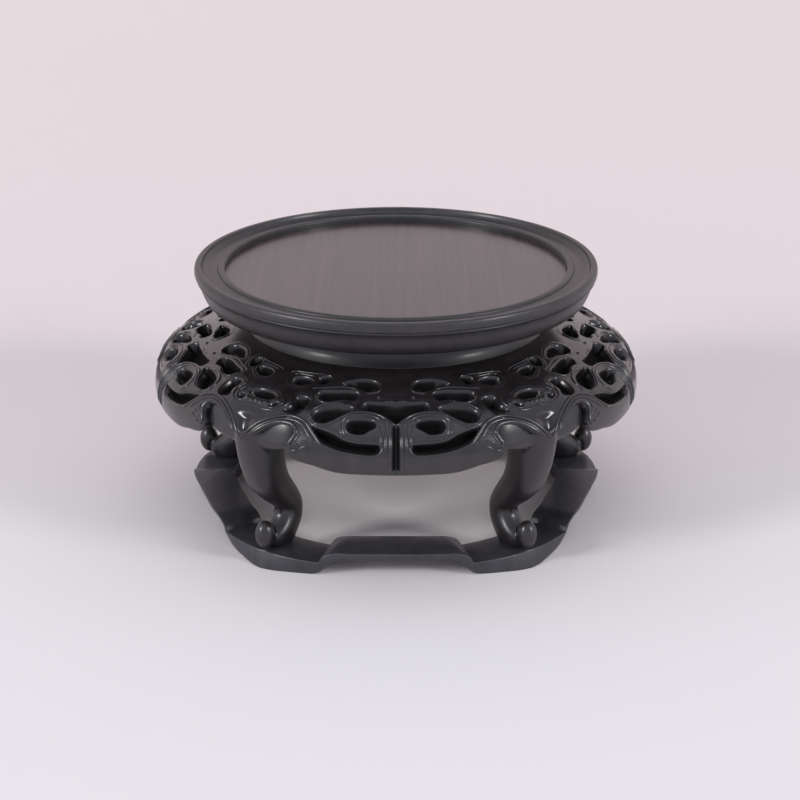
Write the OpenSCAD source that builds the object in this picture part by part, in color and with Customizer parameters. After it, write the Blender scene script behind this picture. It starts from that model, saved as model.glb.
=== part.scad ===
// Round five-legged hardwood display stand with a sunk top, a turned waist, a deeply carved
// apron in five panels, five S-shaped legs with ball feet and a wavy floor ring.
// Millimetres, +Z up. The origin is on the floor, under the centre of the top.
// The middle of panel 1 faces the front, towards -Y.

/* [Overall] */
// Height from the floor to the top of the rim's lip
stand_h = 75.6; // [70:0.2:86]
// Diameter of the top rim
rim_d = 120; // [116:0.5:128]
// Widest diameter, across the swell of the apron
apron_d = 146; // [142:0.5:156]

/* [Top rim and panel] */
// Height of the rim, from its underside to the top of its lip
rim_h = 10.2; // [9:0.1:13]
// Width of the raised lip round the outside
lip_w = 2.2; // [1.6:0.1:3]
// Height of the lip's outer band, down to the fine groove
lip_h = 3.1; // [2.4:0.1:4]
// Width of the shallow channel inside the lip
channel_w = 4.7; // [3.5:0.1:5.5]
// Depth of the channel below the lip
channel_depth = 1.4; // [0.8:0.1:1.8]
// Width of the bead between the channel and the panel
bead_w = 2.2; // [1.6:0.1:3]
// How far the bead's crown lies below the lip
bead_drop = 0.8; // [0.4:0.1:1]
// How far the panel lies below the lip
panel_drop = 2.8; // [2.2:0.1:3.6]
// Thickness of the panel
panel_t = 4; // [3:0.1:5]
// How far the panel's tongue runs in under the bead
panel_lap = 2; // [1.2:0.1:2.4]
// How far the panel's tongue lies below its face
tongue_drop = 1.2; // [0.8:0.1:2]
// Depth of the fine groove under the lip
groove_depth = 0.9; // [0.4:0.1:1.4]
// How far the edge moulding draws in at the underside
rim_draw_in = 4.5; // [3:0.1:5]

/* [Waist] */
// Height of the waist that shows between the top and the apron
waist_h = 7.8; // [6:0.1:11]
// Diameter of the waist at its narrowest
neck_d = 89; // [88:0.5:90]
// Diameter of the waist where it meets the underside of the top
waist_head_d = 95; // [92:0.5:100]
// Diameter of the waist where it stands on the apron
waist_foot_d = 91; // [90.5:0.5:94]
// Diameter of the hole through the waist
waist_bore_d = 68; // [60:1:72]
// Depth of the ring under the waist that centres it in the apron
waist_spigot = 3; // [2:0.1:4]

/* [Apron] */
// Height of the apron at the middle of a panel
apron_h = 20.6; // [18:0.1:24]
// Thickness of the carved wall
apron_t = 4; // [3:0.1:5]
// Thickness of the ground left behind the carved recesses
ground_t = 1.4; // [1:0.1:2]
// Radius of the swell at the apron's shoulder
shoulder_r = 12; // [10:0.1:14]
// Drop from the apron's top to the centre of that swell
shoulder_drop = 17.6; // [16:0.1:20]
// Width of the flat seat that the waist stands on
seat_w = 7.5; // [6.5:0.1:9]
// Height of the point where two panels meet on a leg, below the apron's top
tip_drop = 15; // [13:0.1:17]
// Rise of the panels' lower edge from that point to the sides of the leg
tip_rise = 2.3; // [1.5:0.1:4]

/* [Legs] */
// Width of a leg where it meets the apron
leg_w = 9.2; // [8:0.1:10.5]
// How far the front of a leg lies behind the swell of the apron
leg_set_back = 0.4; // [0.2:0.1:1]
// Distance from the stand's axis to the back of a leg, below the apron
leg_back = 56.4; // [55:0.1:58]
// Width of a leg across the knee
knee_w = 7.4; // [6.4:0.1:8.4]
// How far the front of the knee stands out past the ankle
knee_out = 9.2; // [7.5:0.1:10.5]
// Height of the knee above the ankle
knee_rise = 8.6; // [7.2:0.1:10]
// Width of a leg across the ankle
ankle_w = 5.4; // [4.6:0.1:7]
// Depth of a leg at the ankle, front to back
ankle_depth = 5.2; // [4.4:0.1:6.6]
// Distance from the stand's axis to the front of the ankle
ankle_r = 55.8; // [54.6:0.1:57.4]
// Height of the ankle above the floor ring
ankle_rise = 10.8; // [10:0.1:12.5]
// How far the heel swells back behind the ankle
heel_swell = 0.4; // [0.2:0.1:1]
// Height of the heel's swell above the floor ring
heel_rise = 8; // [6.5:0.1:9]
// How far the sole starts in front of the heel's swell
heel_undercut = 4.2; // [3:0.1:5]
// Width of the foot
foot_w = 6.4; // [5.4:0.1:8]
// Diameter of the ball at the end of the foot
ball_d = 6.6; // [5.6:0.1:7.4]
// Distance of the ball's centre in from the corner of the floor ring
ball_inset = 0.8; // [0.2:0.1:1.6]
// Gap between the ball and the floor ring, filled by the sole
sole_t = 1.4; // [1:0.1:1.8]
// How far the sole stops short of the ball's centre
sole_inset = 0.8; // [0.4:0.1:1.4]

/* [Floor ring] */
// Distance from the axis to the outside of a rail, at its middle
rail_out = 61.2; // [60:0.1:63]
// Distance from the axis to the corner of the ring, under a foot
corner_out = 64.2; // [63:0.1:66]
// Distance from the axis to the inside of the ring
ring_in = 51.2; // [48:0.1:52]
// Height of the pads under the feet
pad_h = 4.6; // [3.6:0.1:6]
// Height of the top of the raised rails above the floor
rail_top = 7.7; // [7:0.1:9]
// Thickness of the raised rails
rail_t = 2.4; // [1.8:0.1:3]
// Length of the raised part of a rail, along its top
rail_l = 36.4; // [33:0.1:40]
// Length of the slope between the top of a rail and a pad
slope_l = 3.4; // [2.6:0.1:5]
// How far the slope under a rail starts inside the slope on top
slope_set_in = 2.3; // [1.6:0.1:3]
// Length of the slope under a rail, down to the floor
under_slope_l = 8.4; // [7:0.1:10]

/* [Joinery] */
// Clearance round a part that is glued into another
glue_gap = 0.1; // [0.05:0.01:0.2]
// Clearance between a leg and the curved inside of the apron
wall_gap = 0.25; // [0.2:0.01:0.4]
// Width of the apron's seat left inside a leg's tenon
seat_land = 1.2; // [0.8:0.1:1.6]
// Depth of a leg's tenon, measured along the stand's radius
tenon_d = 4; // [3:0.1:4.4]
// Width of a leg's tenon
tenon_w = 4; // [3:0.1:5]
// Length of the tenon inside the waist
tenon_in = 3; // [2:0.1:5]
// Length of the key across each mitre of the apron
key_l = 5; // [3:0.1:6]
// Width of the key across each mitre of the apron
key_w = 5; // [4:0.1:6]
// Thickness of the key across each mitre of the apron
key_t = 1.2; // [0.8:0.1:1.6]
// Diameter of the dowel under each foot
dowel_d = 3; // [2:0.1:3.6]
// Length of the dowel in the foot
dowel_up = 3.5; // [2:0.1:4]
// Length of the dowel in the floor ring
dowel_down = 3; // [2:0.1:3.4]
// Length of the key across each mitre of the floor ring
ring_key_l = 3.6; // [2:0.1:4.2]
// Width of the key across each mitre of the floor ring
ring_key_w = 7; // [5:0.1:9]
// Thickness of the key across each mitre of the floor ring
ring_key_t = 1.4; // [1:0.1:2]

/* [Hidden] */
$fn = 96;

// The stand repeats five times round its axis
sides = 5;
turn = 360 / sides;
half = turn / 2;
front = -90;

// Colours of the oiled black hardwood and of the plainer hidden pieces
wood = "#2e2427";
panel_wood = "#41363a";
hidden_wood = "#5b4632";

// Levels of the joints, counted down from the lip
rim_base = stand_h - rim_h;
panel_top = stand_h - panel_drop;
panel_base = panel_top - panel_t;
tongue_top = panel_top - tongue_drop;
seat = rim_base - waist_h;
apron_base = seat - apron_h;
tip = seat - tip_drop;

// Radii of the turned pieces
rim_r = rim_d / 2;
channel_r = rim_r - lip_w;
bead_r = channel_r - channel_w;
opening_r = bead_r - bead_w;
panel_r = opening_r + panel_lap;
seat_r = waist_foot_d / 2;
seat_in = seat_r - seat_w;
tenon_mid = seat_in + seat_land + tenon_d / 2;

// Apron wall: a straight slope from the seat's edge, tangent to a round swell
swell = [apron_d / 2 - shoulder_r, seat - shoulder_drop];
to_swell = swell - [seat_r, seat];
slope_run = sqrt(to_swell * to_swell - pow(shoulder_r, 2));
slope_normal = 90 + atan2(to_swell[1], to_swell[0]) + asin(shoulder_r / norm(to_swell));
base_normal = asin((apron_base - swell[1]) / shoulder_r);

// A point on a circle, and points along an arc and along a cubic curve
function polar(r, a) = r * [cos(a), sin(a)];
function arc(c, r, a0, a1, n) = [for (i = [0 : n]) c + polar(r, a0 + (a1 - a0) * i / n)];
function curve(p0, p1, p2, p3, n = 8) =
    [for (i = [0 : n])
        let (t = i / n, u = 1 - t)
        u * u * u * p0 + 3 * u * u * t * p1 + 3 * u * t * t * p2 + t * t * t * p3];

// A cubic curve that leaves p0 with heading a0 and reaches p1 with heading a1
flow_pull = 0.36;
function flow(p0, a0, p1, a1, n = 8) =
    let (pull = flow_pull * norm(p1 - p0))
    curve(p0, p0 + polar(pull, a0), p1 - polar(pull, a1), p1, n);

// A smooth closed line through points, each stretch a cubic in line with its neighbours
function smooth(p, steps) =
    [for (i = [0 : len(p) - 1], j = [0 : steps - 1])
        let (n = len(p), t = j / steps,
             a = p[(i + n - 1) % n], b = p[i], c = p[(i + 1) % n], d = p[(i + 2) % n])
        b + t * ((c - a) / 2 + t * (a - 2.5 * b + 2 * c - d / 2 + t * ((d - a) / 2 + 1.5 * (b - c))))];
function middle(p) = [for (q = p) 1 / len(p)] * p;

// A place on the apron's face is [degrees from the panel's middle, percent of the way down].
// Angle of the outward normal and point of the profile, p percent of the way down
face_l = slope_run + shoulder_r * (slope_normal - base_normal) * PI / 180;
function on_slope(p) = p * face_l / 100 < slope_run;
function face_normal(p) =
    on_slope(p) ? slope_normal
                : slope_normal - (p * face_l / 100 - slope_run) / shoulder_r * 180 / PI;
function face_point(p) =
    on_slope(p) ? [seat_r, seat] + p * face_l / 100 * [sin(slope_normal), -cos(slope_normal)]
                : swell + polar(shoulder_r, face_normal(p));

// A place laid flat on the plane that touches the face at place o
function flat(p, o) =
    let (q = face_point(p[1]),
         f = face_point(o[1]),
         n = face_normal(o[1]),
         turned = p[0] - o[0])
    [(q[0] * cos(turned) - f[0]) * sin(n) - (q[1] - f[1]) * cos(n), q[0] * sin(turned)];

// Puts what follows on the apron's face at place o, with Z along the outward normal
module on_face(o) {
    f = face_point(o[1]);
    rotate([0, 0, o[0]])
        translate([f[0], 0, f[1]])
            rotate([0, 90 - face_normal(o[1]), 0])
                children();
}

// Repeats what follows at every leg, or puts it at leg or panel number i
module at_leg(i) { rotate([0, 0, front + half + turn * (i - 1)]) children(); }
module at_panel(i) { rotate([0, 0, front + turn * (i - 1)]) children(); }
module each_leg() { for (i = [1 : sides]) at_leg(i) children(); }
module both_ends() { for (end = [-half, half]) rotate([0, 0, end]) children(); }

// Turned rim: ogee edge, fine groove, lip, shallow channel and bead, rabbeted from below
lip_round = 0.7;
groove_z = stand_h - lip_h;
edge_foot = [rim_r - rim_draw_in, rim_base];
edge_head = [rim_r - lip_round, groove_z - groove_depth / 2];
edge_rise = edge_head[1] - edge_foot[1];
bead_rise = (panel_drop - bead_drop) / 2;
bead_mid = bead_r - bead_w / 2;
rim_profile = concat(
    curve(edge_foot, edge_foot + [rim_draw_in * 0.6, edge_rise * 0.2],
          edge_head - [rim_draw_in * 0.4, edge_rise * 0.5], edge_head),
    [[rim_r - groove_depth, groove_z], [rim_r, groove_z + groove_depth / 2]],
    arc([rim_r - lip_round, stand_h - lip_round], lip_round, 0, 90, 4),
    [[channel_r, stand_h]],
    curve([channel_r, stand_h - channel_depth / 2],
          [channel_r - channel_w * 0.2, stand_h - channel_depth * 1.15],
          [bead_r + channel_w * 0.2, stand_h - channel_depth * 1.15],
          [bead_r, stand_h - channel_depth], 6),
    [for (i = [0 : 6])
        [bead_mid + bead_w / 2 * cos(i * 30),
         stand_h - channel_depth + (channel_depth - bead_drop) * sin(i * 30)]],
    [[opening_r, tongue_top], [panel_r + glue_gap, tongue_top], [panel_r + glue_gap, rim_base]]);

module top_rim() color(wood) rotate_extrude() polygon(rim_profile);

// Loose panel: its tongue lies in the rim's rabbet, on top of the waist
module top_panel()
    color(panel_wood)
    translate([0, 0, panel_base]) {
        cylinder(r = panel_r, h = panel_t - tongue_drop);
        cylinder(r = opening_r - glue_gap, h = panel_t);
    }

// Turned waist: a head that fills the rim's rabbet, a hollow neck and a centring ring
head_edge = [waist_head_d / 2, rim_base];
foot_edge = [seat_r, seat];
neck_pull = (waist_head_d / 2 + seat_r - neck_d) / 3;
neck_mid = [neck_d / 2 - neck_pull, seat + waist_h * 0.55];
waist_profile = concat(
    [[waist_bore_d / 2, panel_base], [panel_r - glue_gap, panel_base],
     [panel_r - glue_gap, rim_base]],
    curve(head_edge, [neck_mid[0], rim_base - waist_h * 0.15],
          [neck_mid[0], seat + waist_h * 0.35], foot_edge, 10),
    [[seat_in - glue_gap, seat], [seat_in - glue_gap, seat - waist_spigot],
     [waist_bore_d / 2, seat - waist_spigot]]);

module waist_ring()
    color(wood)
    difference() {
        rotate_extrude() polygon(waist_profile);
        each_leg()
            translate([tenon_mid, 0, seat])
                cube([tenon_d + 2 * glue_gap, tenon_w + 2 * glue_gap,
                      2 * (tenon_in + glue_gap)], center = true);
    }

// Apron panel: one fifth of the turned wall, with recesses carved down to an even ground,
// mitred on the axes of two legs
arc_steps = 10;
inner_corner = [seat_r - apron_t * tan((90 - slope_normal) / 2), seat - apron_t];
apron_profile = concat(
    [[seat_in, seat], [seat_r, seat]],
    arc(swell, shoulder_r, slope_normal, base_normal, arc_steps),
    arc(swell, shoulder_r - apron_t, base_normal, slope_normal, arc_steps),
    [inner_corner, [seat_in, seat - apron_t]]);

// All that lies behind the ground of the recesses
carve_depth = apron_t - ground_t;
ground_r = shoulder_r - carve_depth;
ground_edge = [seat_r, seat] - polar(carve_depth, slope_normal) + polar(seat_w, slope_normal + 90);
ground_profile = concat(
    [[0, swell[1] - ground_r]],
    arc(swell, ground_r, -90, slope_normal, arc_steps),
    [ground_edge, [0, ground_edge[1]]]);

// Recesses of half a panel: each is a smooth loop through places on the face
crown_eye = [[5, 23], [5.1, 18], [6.4, 14.5], [9, 13], [12.5, 14], [16.3, 20], [12.5, 22],
             [10.3, 24.5], [8, 26.5], [6, 26]];
ridge_eye = [[20.3, 18], [20.8, 13.5], [22.5, 13], [24.3, 16.5], [24, 22], [22, 23.5]];
shoulder_slot = [[25.4, 22.5], [26.5, 19.5], [29.5, 19], [32, 22], [31.5, 27], [29, 28.5], [26.8, 26]];
leaf_slot = [[10.2, 33.5], [10.6, 28.5], [13.5, 27.5], [17.5, 29], [20.6, 30.5], [21.8, 34],
             [20.8, 39], [18.8, 41.5], [16.6, 40], [14.2, 37], [11.6, 37.5]];
side_eye = [[10.6, 46.5], [12, 44.5], [15, 45], [17.6, 47.5], [19.4, 52], [19.8, 57.5], [18.8, 62],
            [16.6, 62.5], [14.6, 59], [12.4, 52]];
corner_eye = [[22.6, 43], [24, 39.5], [26.2, 40.5], [26.6, 45.5], [26.5, 51], [27.4, 57], [26, 59.5],
              [23.8, 58.5], [22.8, 52]];
curl_eye = [[29.8, 54], [30.4, 50.5], [31.4, 51.5], [31.8, 55.5], [30.8, 57.5]];
scroll_eye = [[4.6, 63], [5.2, 58], [7.5, 56], [9.8, 56.5], [11.1, 60], [11.2, 65], [10, 69],
              [7.5, 69.5], [6.2, 67]];
crescent = [[3.4, 81], [3.7, 77], [8, 76.5], [11.2, 75], [13.8, 71], [16.5, 68.5], [19.4, 67.5],
            [18.4, 73], [16.4, 77.5], [13.5, 81.5], [10, 83.5], [5, 84.5]];
half_eyes = [crown_eye, ridge_eye, shoulder_slot, leaf_slot, side_eye, corner_eye, curl_eye,
             scroll_eye, crescent];

// Recesses that reach over the middle of a panel, and over the axis of a leg
function mirrored(p, a) =
    concat(p, [for (i = [len(p) - 1 : -1 : 0]) [2 * a - p[i][0], p[i][1]]]);
bat_eye = mirrored([[2, 39], [5, 39], [7.6, 39], [8.5, 43], [8.2, 47.5], [5.6, 48.5], [3.2, 51.5],
                    [1.6, 55.5], [0.4, 59.5]], 0);
leg_eye = mirrored([[34.8, 41.5], [33.2, 43], [32, 46.5], [33.2, 50], [34.8, 50.5]], half);

// Lower edge of half a panel: the arch beside the leg, a cusp and the curl of the edge
arch = concat(
    curve([34.6, 86], [31.4, 71.5], [28.4, 68], [25.6, 68.5]),
    curve([25.6, 68.5], [22, 68.5], [22.6, 77.5], [24.1, 82]),
    curve([24.4, 85.5], [24.2, 92], [20.6, 91.5], [18, 94.5]),
    [[12.5, 100.5], [12.5, 115], [37, 115]]);
arch_place = [28, 92];
key_place = [0, 32.5];

// Cuts an outline of places through the wall, square to the face at place o
module pierce(outline, o) {
    on_face(o)
        translate([0, 0, -2 * shoulder_r + apron_t])
            linear_extrude(2 * shoulder_r)
                polygon([for (p = outline) flat(p, o)]);
}

// Room for the front of a leg: all that lies under the slanting edge of a panel's end
module leg_notch(gap) {
    side = leg_w / 2 + gap;
    low = apron_base - shoulder_r;
    rotate([90, 0, 90])
        linear_extrude(apron_d)
            polygon([[-side, low], [side, low], [side, tip - tip_rise], [-side, tip + tip_rise]]);
}

// The outlines of all recesses, cut right through
module recess_outlines() {
    pierce(smooth(bat_eye, 3), middle(bat_eye));
    for (m = [0, 1]) mirror([0, m, 0]) {
        for (eye = half_eyes) pierce(smooth(eye, 2), middle(eye));
        pierce(smooth(leg_eye, 3), middle(leg_eye));
    }
}

module apron_key(gap) {
    on_face(key_place)
        translate([0, 0, -apron_t / 2])
            cube([key_l + 2 * gap, key_w + 2 * gap, key_t + 2 * gap], center = true);
}

module apron_panel()
    color(wood)
    difference() {
        rotate([0, 0, -half]) rotate_extrude(angle = turn) polygon(apron_profile);
        difference() {
            recess_outlines();
            rotate_extrude() polygon(ground_profile);
        }
        for (m = [0, 1]) mirror([0, m, 0]) {
            pierce(arch, arch_place);
            rotate([0, 0, half]) {
                leg_notch(glue_gap);
                apron_key(glue_gap);
                translate([tenon_mid, 0, seat])
                    cube([tenon_d + 2 * glue_gap, tenon_w + 2 * glue_gap, 4 * apron_t],
                         center = true);
            }
        }
    }

module apron_keys() color(hidden_wood) each_leg() apron_key(0);

// Corners of a leg in the plane through the stand's axis
ball_r = ball_d / 2;
ball_at = [corner_out - ball_inset, pad_h + sole_t + ball_r];
leg_top = [apron_d / 2 - leg_set_back, tip + tip_rise];
ankle = [ankle_r, pad_h + ankle_rise];
knee = ankle + [knee_out, knee_rise];
throat = [(ankle[0] + ball_at[0]) / 2, (ankle[1] + ball_at[1]) / 2 - heel_swell];
toe = [ball_at[0] - sole_inset, pad_h];
back_of_ankle = ankle - [ankle_depth, 0];
back_of_heel = [back_of_ankle[0] - heel_swell, pad_h + heel_rise];
heel = [back_of_heel[0] + heel_undercut, pad_h];
back_of_knee = [leg_back, knee[1] + knee_rise];
head_in = tenon_mid - tenon_d / 2;
head_top = seat - apron_t;
head_low = [head_in, head_top - apron_t];

// The S-shaped outline: down the front to the foot, then up the back, with headings in degrees
leg_outline = concat(
    flow(leg_top, -96, knee, -130),
    flow(knee, -130, ankle, -90),
    flow(ankle, -90, throat, -38, 5),
    [ball_at, toe],
    flow(heel, 180, back_of_heel, 90, 6),
    flow(back_of_heel, 90, back_of_ankle, 74, 5),
    flow(back_of_ankle, 74, back_of_knee, 90),
    [[leg_back, leg_top[1]]]);

// Upper end of the leg: fills the room under the apron's wall
head_outline = concat(
    [[head_in, head_top], [inner_corner[0] - wall_gap, head_top]],
    arc(swell, shoulder_r - apron_t - wall_gap, slope_normal, 0, arc_steps),
    flow([leg_back, swell[1]], 90, head_low, 180));

// Half widths of a leg, seen from the front, from the floor ring up
leg_half_widths = [[pad_h, foot_w / 2], [back_of_heel[1], foot_w / 2], [ankle[1], ankle_w / 2],
                   [knee[1], knee_w / 2], [leg_top[1], leg_w / 2]];
leg_front = concat(
    [for (w = leg_half_widths) [w[1], w[0]]],
    [[0, tip]],
    [for (i = [len(leg_half_widths) - 1 : -1 : 0]) [-leg_half_widths[i][1], leg_half_widths[i][0]]]);

module upright(width) {
    rotate([90, 0, 0]) linear_extrude(width, center = true) children();
}

// The dowel stands under the foot, on the mitre of two rails
dowel_r = (toe[0] + heel[0]) / 2;
module foot_dowel(gap) {
    translate([dowel_r, 0, pad_h - dowel_down - gap])
        cylinder(d = dowel_d + 2 * gap, h = dowel_down + dowel_up + 2 * gap);
}

module leg()
    color(wood)
    difference() {
        union() {
            intersection() {
                upright(2 * leg_w) polygon(leg_outline);
                rotate([90, 0, 90]) linear_extrude(apron_d) polygon(leg_front);
            }
            upright(leg_w) polygon(head_outline);
            translate([head_in, -tenon_w / 2, head_low[1]])
                cube([tenon_d, tenon_w, seat + tenon_in - head_low[1]]);
            translate([ball_at[0], 0, ball_at[1]]) sphere(r = ball_r);
        }
        foot_dowel(glue_gap);
    }

module foot_dowels() color(hidden_wood) each_leg() foot_dowel(0);

// Floor ring in plan: straight rails that run into round corners under the feet
corner_r = (rail_out / cos(half) - corner_out) / (1 / cos(half) - 1);
corner_mid = (rail_out - corner_r) / cos(half);
corner_start = atan2(corner_mid * sin(half), rail_out);
function ring_out(a) =
    let (d = half - abs(a))
    abs(a) < corner_start ? rail_out / cos(a)
        : corner_mid * cos(d) + sqrt(pow(corner_r, 2) - pow(corner_mid * sin(d), 2));
plan_steps = 24;
function plan_angle(i) = turn * i / plan_steps - half;
rail_plan = concat(
    [for (i = [0 : plan_steps]) polar(ring_out(plan_angle(i)), plan_angle(i))],
    [for (i = [plan_steps : -1 : 0]) polar(ring_in, plan_angle(i))]);

// Rail seen from the front, long enough to run past the mitres: pads, slopes and a raised middle
lift = rail_top - rail_t;
under_half = rail_l / 2 - slope_set_in;
rail_front = [
    [-corner_out, 0], [-under_half - under_slope_l, 0], [-under_half, lift],
    [under_half, lift], [under_half + under_slope_l, 0], [corner_out, 0],
    [corner_out, pad_h], [rail_l / 2 + slope_l, pad_h], [rail_l / 2, rail_top],
    [-rail_l / 2, rail_top], [-rail_l / 2 - slope_l, pad_h], [-corner_out, pad_h]];

// The key lies in the mitre, between the inside of the ring and the dowel
rail_key_r = (ring_in + dowel_r - dowel_d / 2) / 2;
module rail_key(gap) {
    translate([rail_key_r, 0, pad_h / 2])
        cube([ring_key_l + 2 * gap, ring_key_w + 2 * gap, ring_key_t + 2 * gap], center = true);
}

module base_rail()
    color(wood)
    difference() {
        intersection() {
            linear_extrude(rail_top + pad_h) polygon(rail_plan);
            rotate([90, 0, 90]) linear_extrude(2 * corner_out) polygon(rail_front);
        }
        both_ends() {
            rail_key(glue_gap);
            foot_dowel(glue_gap);
        }
    }

module rail_keys() color(hidden_wood) each_leg() rail_key(0);

top_rim();
top_panel();
waist_ring();
at_panel(1) apron_panel();  // apron_panel_1
at_panel(2) apron_panel();  // apron_panel_2
at_panel(3) apron_panel();  // apron_panel_3
at_panel(4) apron_panel();  // apron_panel_4
at_panel(5) apron_panel();  // apron_panel_5
apron_keys();
at_leg(1) leg();  // leg_1
at_leg(2) leg();  // leg_2
at_leg(3) leg();  // leg_3
at_leg(4) leg();  // leg_4
at_leg(5) leg();  // leg_5
foot_dowels();
at_panel(1) base_rail();  // base_rail_1
at_panel(2) base_rail();  // base_rail_2
at_panel(3) base_rail();  // base_rail_3
at_panel(4) base_rail();  // base_rail_4
at_panel(5) base_rail();  // base_rail_5
rail_keys();
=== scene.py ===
import math

import bmesh
import bpy
import numpy as np
from mathutils import Matrix, Vector
from mathutils.geometry import delaunay_2d_cdt


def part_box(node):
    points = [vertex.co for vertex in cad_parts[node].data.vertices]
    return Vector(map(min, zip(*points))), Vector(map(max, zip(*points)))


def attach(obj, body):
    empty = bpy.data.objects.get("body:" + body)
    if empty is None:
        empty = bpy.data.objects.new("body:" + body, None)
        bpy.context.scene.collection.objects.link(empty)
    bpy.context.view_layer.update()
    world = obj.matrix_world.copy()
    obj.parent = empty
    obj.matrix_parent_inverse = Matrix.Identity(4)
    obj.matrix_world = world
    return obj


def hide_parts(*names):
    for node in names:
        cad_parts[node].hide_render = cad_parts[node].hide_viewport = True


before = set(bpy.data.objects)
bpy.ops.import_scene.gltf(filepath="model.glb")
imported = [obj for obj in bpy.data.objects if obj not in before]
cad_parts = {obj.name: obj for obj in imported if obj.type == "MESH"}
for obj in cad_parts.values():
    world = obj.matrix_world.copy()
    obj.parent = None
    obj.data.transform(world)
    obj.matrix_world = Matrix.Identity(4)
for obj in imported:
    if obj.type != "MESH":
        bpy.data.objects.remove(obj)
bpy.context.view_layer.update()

# The view: a long lens a little above the top, square to the front panel of the apron.
# The frame is 800 pixels wide and high. Nothing in this section is part of the stand.
frame_px = 800
lens_px = 1734.4
sensor_mm = 36
stand_middle_px = 396
eye_rise = math.radians(21.5)
eye_distance = 0.534
aim = Vector((0, 0, 0.0304))
camera = bpy.data.objects.new("camera", bpy.data.cameras.new("camera"))
bpy.context.collection.objects.link(camera)
camera.data.sensor_width = sensor_mm
camera.data.lens = sensor_mm * lens_px / frame_px
camera.data.shift_x = (frame_px / 2 - stand_middle_px) / frame_px
backwards = Vector((0, -math.cos(eye_rise), math.sin(eye_rise)))
camera.location = aim + backwards * eye_distance
camera.rotation_euler = backwards.to_track_quat("Z", "Y").to_euler()
bpy.context.scene.camera = camera
bpy.context.scene.view_settings.view_transform = "Standard"


# Floor and backdrop: one pale sheet that lies flat under the stand and sweeps up behind it.
# Its tint goes from a cool white in front to a warm grey on the wall.
class Wire:
    """A shader socket that does sums: 1 - wire * 2 adds the Math nodes for it."""

    def __init__(self, tree, socket=None):
        self.tree = tree
        self.socket = socket

    def node(self, kind, settings=None, inputs=None, out=0):
        """Adds a node, sets it up, fills or links its inputs, and gives one of its outputs."""
        made = self.tree.nodes.new(kind)
        for name, value in (settings or {}).items():
            if name == "stops":
                ramp = made.color_ramp.elements
                while len(ramp) < len(value):
                    ramp.new(0.5)
                for stop, (place, tone) in zip(ramp, value):
                    stop.position = place
                    stop.color = (*tone, 1) if isinstance(tone, tuple) else (tone, tone, tone, 1)
            else:
                setattr(made, name, value)
        for name, value in (inputs or {}).items():
            if isinstance(value, Wire):
                self.tree.links.new(value.socket, made.inputs[name])
            elif isinstance(value, tuple) and len(value) == 3 and made.inputs[name].type == "RGBA":
                made.inputs[name].default_value = (*value, 1)
            else:
                made.inputs[name].default_value = value
        return Wire(self.tree, made.outputs[out])

    def sum(self, operation, first, second):
        """Adds a Math node."""
        return self.node("ShaderNodeMath", {"operation": operation}, {0: first, 1: second})

    def __add__(self, other):
        return self.sum("ADD", self, other)

    def __sub__(self, other):
        return self.sum("SUBTRACT", self, other)

    def __rsub__(self, other):
        return self.sum("SUBTRACT", other, self)

    def __mul__(self, other):
        return self.sum("MULTIPLY", self, other)

    __radd__ = __add__
    __rmul__ = __mul__

    def ramp(self, *stops):
        """Colours for the value, from stops of (place, colour)."""
        return self.node("ShaderNodeValToRGB", {"stops": stops}, {"Fac": self})


def new_material(name):
    """A material, its shader and a wire in its tree."""
    material = bpy.data.materials.new(name)
    material.use_nodes = True
    return material, material.node_tree.nodes["Principled BSDF"], Wire(material.node_tree)


sheet_half_width = 2.5
sheet_front = -2.5
sweep_start = 0.10
sweep_radius = 0.30
sweep_steps = 24
wall_top = 0.62
tint_start, tint_end = -0.1, 0.3
sheet_side = [(sheet_front, 0.0), (-0.3, 0.0), (0.0, 0.0)]
for step in range(sweep_steps + 1):
    turn = math.radians(90 * step / sweep_steps)
    sheet_side.append((sweep_start + sweep_radius * math.sin(turn), sweep_radius * (1 - math.cos(turn))))
sheet_side.append((sweep_start + sweep_radius, wall_top))
sheet_points = [(x, y, z) for y, z in sheet_side for x in (-sheet_half_width, sheet_half_width)]
sheet_faces = [(2 * i, 2 * i + 1, 2 * i + 3, 2 * i + 2) for i in range(len(sheet_side) - 1)]
sheet_mesh = bpy.data.meshes.new("backdrop")
sheet_mesh.from_pydata(sheet_points, [], sheet_faces)
sheet_mesh.shade_smooth()
backdrop = bpy.data.objects.new("backdrop", sheet_mesh)
bpy.context.collection.objects.link(backdrop)
paper, paper_shader, wire = new_material("pale_paper")
place = wire.node("ShaderNodeTexCoord", out="Object")
back_y = wire.node("ShaderNodeSeparateXYZ", {}, {"Vector": place}, out="Y")
depth = wire.node("ShaderNodeMapRange", {}, {"Value": back_y, "From Min": tint_start, "From Max": tint_end})
tint = depth.ramp((0.0, (0.81, 0.775, 0.775)), (0.55, (0.735, 0.67, 0.67)), (1.0, (0.71, 0.62, 0.615)))
wire.tree.links.new(tint.socket, paper_shader.inputs["Base Color"])
paper_shader.inputs["Roughness"].default_value = 0.95
paper_shader.inputs["Specular IOR Level"].default_value = 0.1
sheet_mesh.materials.append(paper)

# Light: two soft boxes at the front sides, a wide faint panel overhead and a dim, slightly blue room.
# Azimuths and elevations are in degrees, distances and sizes in metres, and powers in watts.
room = bpy.data.worlds.new("room")
bpy.context.scene.world = room
room.use_nodes = True
room.node_tree.nodes["Background"].inputs["Color"].default_value = (0.92, 0.965, 1.09, 1)
room.node_tree.nodes["Background"].inputs["Strength"].default_value = 0.63


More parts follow.
